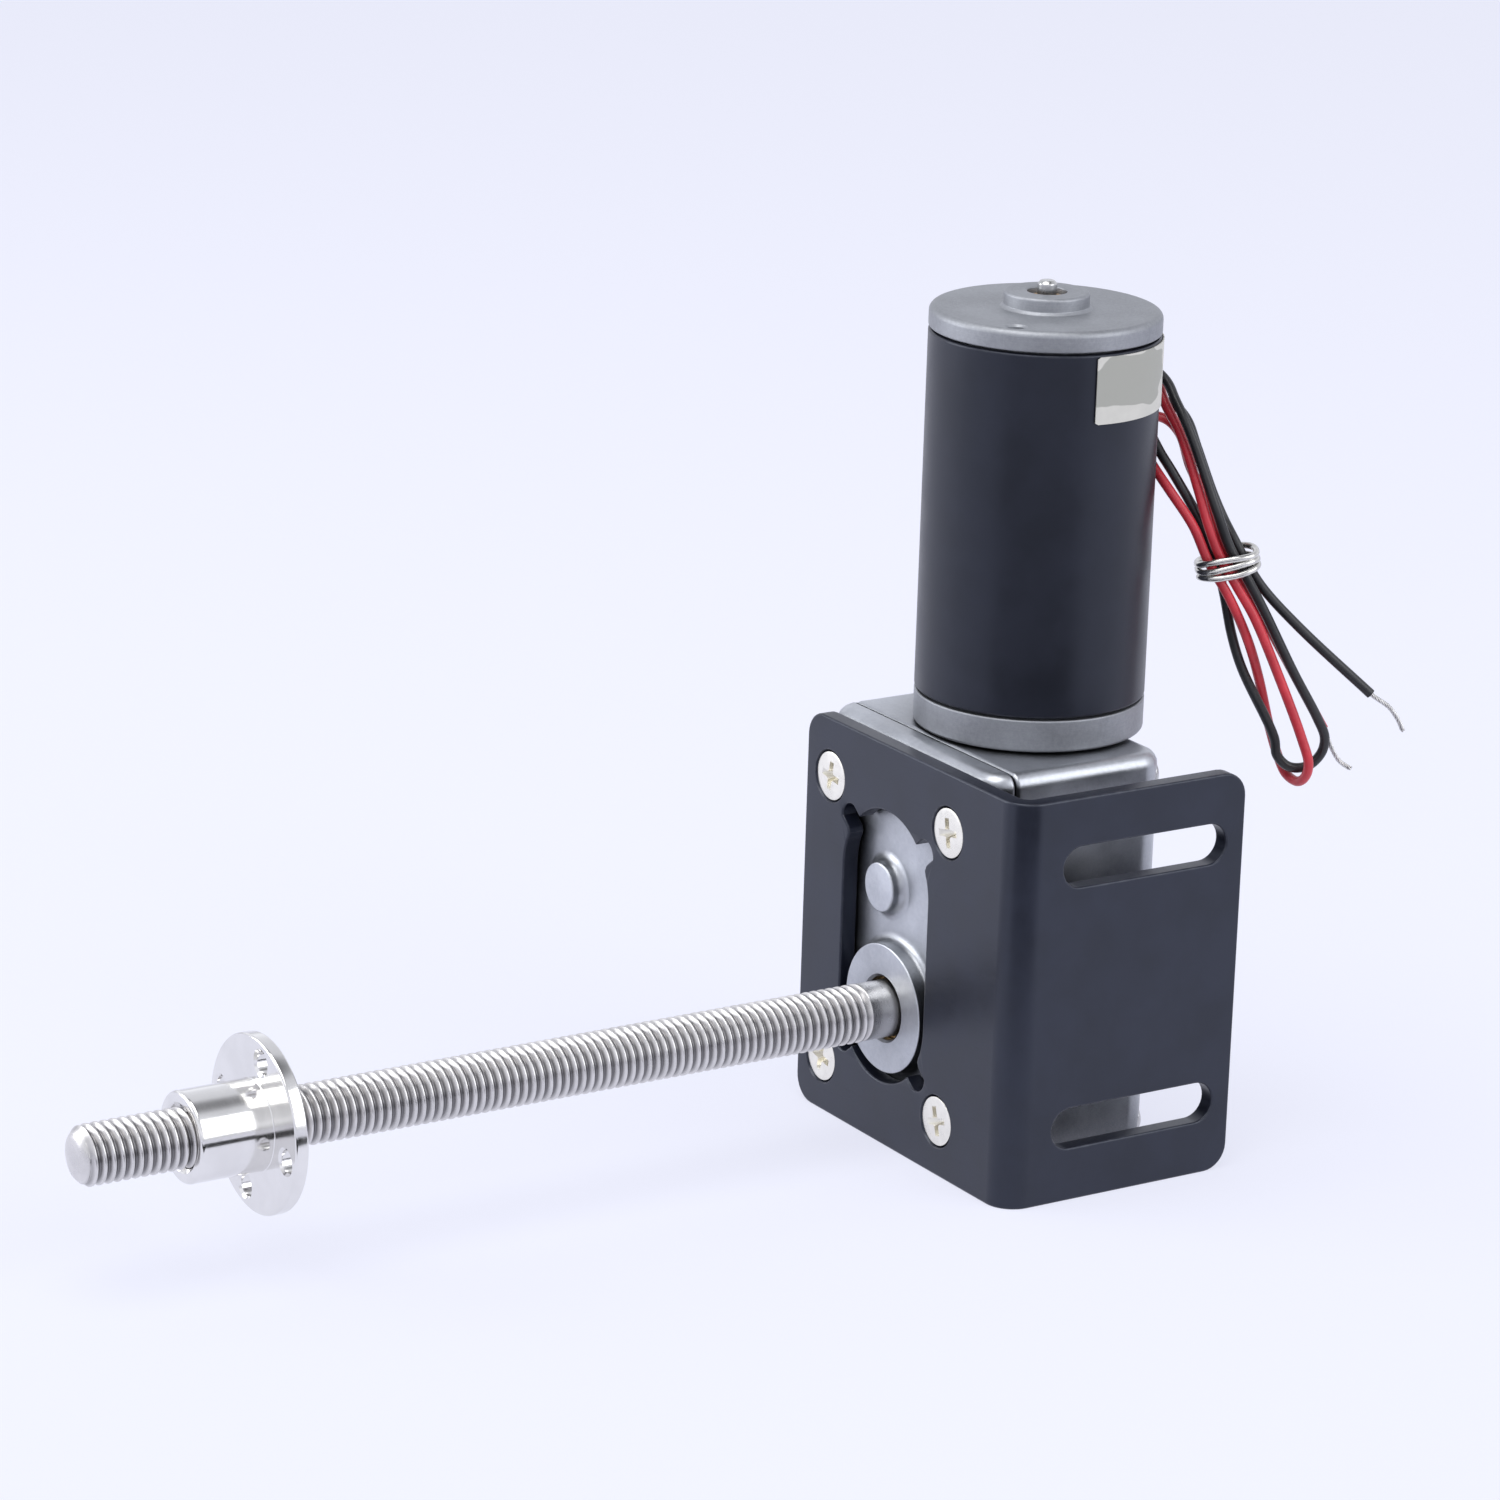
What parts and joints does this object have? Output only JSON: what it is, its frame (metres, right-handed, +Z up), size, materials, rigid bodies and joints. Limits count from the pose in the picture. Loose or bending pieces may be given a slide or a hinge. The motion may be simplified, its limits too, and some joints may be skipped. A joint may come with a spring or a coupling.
{
  "type": "worm gear motor with lead screw",
  "caption": "Worm gear motor whose hollow-case gearbox turns a threaded lead screw with a flanged travelling nut, on a slotted L-shaped mounting bracket, with a tied pair of wire leads.",
  "frame": {"origin": "bottom centre of the bounding box, leaving out the wire leads", "axes": "+Z up along the motor axis, the lead screw points along -Y, the bracket flange faces +X"},
  "size_m": [0.0506, 0.1868, 0.1173],
  "materials": {
    "black_paint": "satin black paint",
    "zinc_casting": "fine cast grey zinc alloy",
    "nickel_plate": "bright nickel plate",
    "steel": "machined steel",
    "stainless_thread": "rolled stainless thread",
    "bronze": "oiled bronze",
    "core_plates": "stacked plates",
    "copper": "copper",
    "ferrite": "dull ceramic magnet",
    "carbon": "pressed carbon",
    "white_plastic": "moulded",
    "rubber": "moulded rubber",
    "red_sleeve": "soft PVC sleeve",
    "black_sleeve": "soft PVC sleeve",
    "label_paper": "blank sticker"
  },
  "bodies": {
    "gear_motor": {"black_lead": "black_sleeve", "black_lead_end": "copper", "bracket": "black_paint", "bracket_screw_1": "nickel_plate", "bracket_screw_2": "nickel_plate", "bracket_screw_3": "nickel_plate", "bracket_screw_4": "nickel_plate", "brush_1": "carbon", "brush_2": "carbon", "brush_holder": "white_plastic", "first_axle_pin": "steel", "front_bush": "bronze", "gearbox_cover": "zinc_casting", "gearbox_housing": "zinc_casting", "housing_screw_1": "steel", "housing_screw_2": "steel", "housing_screw_3": "steel", "housing_screw_4": "steel", "lead_grommet": "rubber", "magnet_1": "ferrite", "magnet_2": "ferrite", "motor_can": "black_paint", "motor_front_bearing": "bronze", "motor_front_cap": "zinc_casting", "motor_label": "label_paper", "motor_mount_screw_1": "steel", "motor_mount_screw_2": "steel", "motor_rear_bearing": "bronze", "motor_rear_cap": "zinc_casting", "rear_bush": "bronze", "red_lead": "red_sleeve", "red_lead_end": "copper", "second_axle_pin": "steel", "wire_tie": "steel"},
    "output_shaft": {"lead_screw": "stainless_thread", "output_gear": "steel", "output_key": "steel", "front_spacer": "steel", "rear_washer": "steel", "retaining_ring": "steel"},
    "nut": {"flange_nut": "nickel_plate"},
    "first_gear": {"worm_wheel": "bronze", "first_pinion": "steel"},
    "second_gear": {"second_wheel": "steel", "second_pinion": "steel"},
    "rotor": {"motor_shaft": "steel", "worm": "steel", "armature_core": "core_plates", "winding_1": "copper", "winding_2": "copper", "winding_3": "copper", "winding_4": "copper", "winding_5": "copper", "commutator": "copper"}
  },
  "joints": [
    {"name": "rotor_spin", "type": "hinge", "parent": "gear_motor", "child": "rotor", "pos_m": [-0.00525, 0.0633, 0.06], "axis": [0, 0, 1], "range_deg": [-748800, 4982400]},
    {"name": "first_gear_spin", "type": "hinge", "parent": "gear_motor", "child": "first_gear", "pos_m": [0.00425, 0.0633, 0.0424], "axis": [0, 1, 0], "range_deg": [-199297, 29953]},
    {"name": "second_gear_spin", "type": "hinge", "parent": "gear_motor", "child": "second_gear", "pos_m": [-0.00825, 0.0531, 0.03524], "axis": [0, 1, 0], "range_deg": [-9985, 66433]},
    {"name": "screw_spin", "type": "hinge", "parent": "gear_motor", "child": "output_shaft", "pos_m": [-0.00525, 0.0411, 0.019], "axis": [0, 1, 0], "range_deg": [-24913, 3745]},
    {"name": "nut_travel", "type": "slide", "parent": "gear_motor", "child": "nut", "axis": [0, 1, 0], "range_m": [-0.01301, 0.08651]}
  ],
  "couplings": [
    {"joint": "first_gear_spin", "follows": "rotor_spin", "ratio": -0.04},
    {"joint": "second_gear_spin", "follows": "rotor_spin", "ratio": 0.013333},
    {"joint": "screw_spin", "follows": "rotor_spin", "ratio": -0.005},
    {"joint": "nut_travel", "follows": "rotor_spin", "m_per_rad": 0.00000099472}
  ]
}
